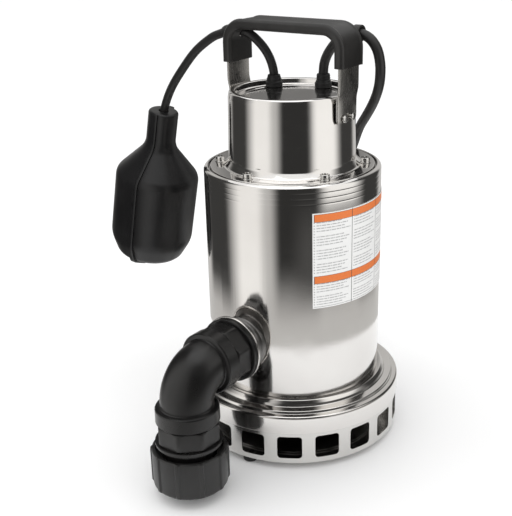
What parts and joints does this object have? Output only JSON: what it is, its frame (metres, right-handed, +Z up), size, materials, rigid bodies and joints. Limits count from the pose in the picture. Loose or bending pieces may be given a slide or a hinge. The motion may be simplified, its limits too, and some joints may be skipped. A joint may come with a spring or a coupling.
{
  "type": "submersible sump pump",
  "caption": "Upright stainless submersible sump pump with slotted strainer base, side discharge elbow, carrying handle, tethered float switch and mains cord.",
  "frame": {"origin": "on the floor, at the bottom centre of the box round the pump, elbow and float; the pump axis stands at x 0.0638, y 0.0469", "axes": "+Z up along the pump axis, +X along the carrying handle away from the float, -Y along the discharge port"},
  "size_m": [0.3329, 0.4029, 0.3975],
  "materials": {
    "polished_steel": "bright drawn stainless steel",
    "brushed_steel": "satin stainless steel",
    "machined_steel": "machined steel",
    "laminated_iron": "varnished iron laminations and castings",
    "copper_winding": "enamelled copper wire",
    "moulded_plastic": "fine satin moulding",
    "soft_rubber": "matt moulded rubber",
    "cord_jacket": "extruded cord jacket",
    "seal_ceramic": "ceramic and bronze seal faces",
    "capacitor_case": "moulded capacitor case",
    "label_film": null
  },
  "bodies": {
    "pump": {"base_cover": "polished_steel", "coil_tie": "moulded_plastic", "cover_gasket": "soft_rubber", "cover_screw_1": "brushed_steel", "cover_screw_2": "brushed_steel", "cover_screw_3": "brushed_steel", "cover_screw_4": "brushed_steel", "cover_screw_5": "brushed_steel", "cover_screw_6": "brushed_steel", "data_label": "label_film", "discharge_port": "polished_steel", "float_cable_bushing": "soft_rubber", "float_cable_fixed": "cord_jacket", "float_cable_gland": "soft_rubber", "foot_1": "soft_rubber", "foot_2": "soft_rubber", "foot_3": "soft_rubber", "handle_grip": "soft_rubber", "handle_rivet_1": "brushed_steel", "handle_rivet_2": "brushed_steel", "handle_rivet_3": "brushed_steel", "handle_rivet_4": "brushed_steel", "handle_strap": "brushed_steel", "lower_bearing": "machined_steel", "lower_bearing_bracket": "laminated_iron", "motor_can": "machined_steel", "outer_shell": "polished_steel", "port_gasket": "soft_rubber", "power_cord": "cord_jacket", "power_cord_boot": "soft_rubber", "power_cord_coil": "cord_jacket", "power_plug": "cord_jacket", "pump_housing": "moulded_plastic", "run_capacitor": "capacitor_case", "seal_seat": "seal_ceramic", "stator_core": "laminated_iron", "strainer_ring": "polished_steel", "suction_plate": "brushed_steel", "thermal_switch": "moulded_plastic", "top_cover": "polished_steel", "upper_bearing": "machined_steel", "upper_bearing_bracket": "laminated_iron", "winding_lower": "copper_winding", "winding_upper": "copper_winding"},
    "rotor": {"rotor_shaft": "machined_steel", "rotor_core": "laminated_iron", "seal_head": "seal_ceramic", "impeller": "moulded_plastic", "impeller_nut": "machined_steel"},
    "elbow": {"elbow": "moulded_plastic", "outlet_seal": "soft_rubber", "outlet_tail": "moulded_plastic"},
    "nut": {"union_nut": "moulded_plastic"},
    "float": {"float_shell_inner": "moulded_plastic", "float_shell_outer": "moulded_plastic", "switch_capsule": "moulded_plastic", "micro_switch": "moulded_plastic", "neck_grommet": "soft_rubber", "float_cable_free": "cord_jacket"},
    "ball": {"switch_ball": "machined_steel"}
  },
  "joints": [
    {"name": "rotor_spin", "type": "hinge", "parent": "pump", "child": "rotor", "pos_m": [0.0638, 0.0469, 0.13], "axis": [0, 0, 1], "continuous": true},
    {"name": "elbow_swivel", "type": "hinge", "parent": "pump", "child": "elbow", "pos_m": [0.0638, -0.0528, 0.115], "axis": [0, -1, 0], "range_deg": [-180, 180]},
    {"name": "nut_turn", "type": "hinge", "parent": "elbow", "child": "nut", "pos_m": [0.0638, -0.1151, 0.03], "axis": [0, 0, -1], "continuous": true},
    {"name": "float_swing", "type": "hinge", "parent": "pump", "child": "float", "pos_m": [-0.0168, 0.0469, 0.3802], "axis": [0, 1, 0], "range_deg": [-8, 95], "stiffness_Nm_per_rad": 0.6, "springref_deg": 14.58},
    {"name": "ball_roll", "type": "slide", "parent": "float", "child": "ball", "axis": [0.2054, 0, 0.9787], "range_m": [0, 0.04]}
  ]
}
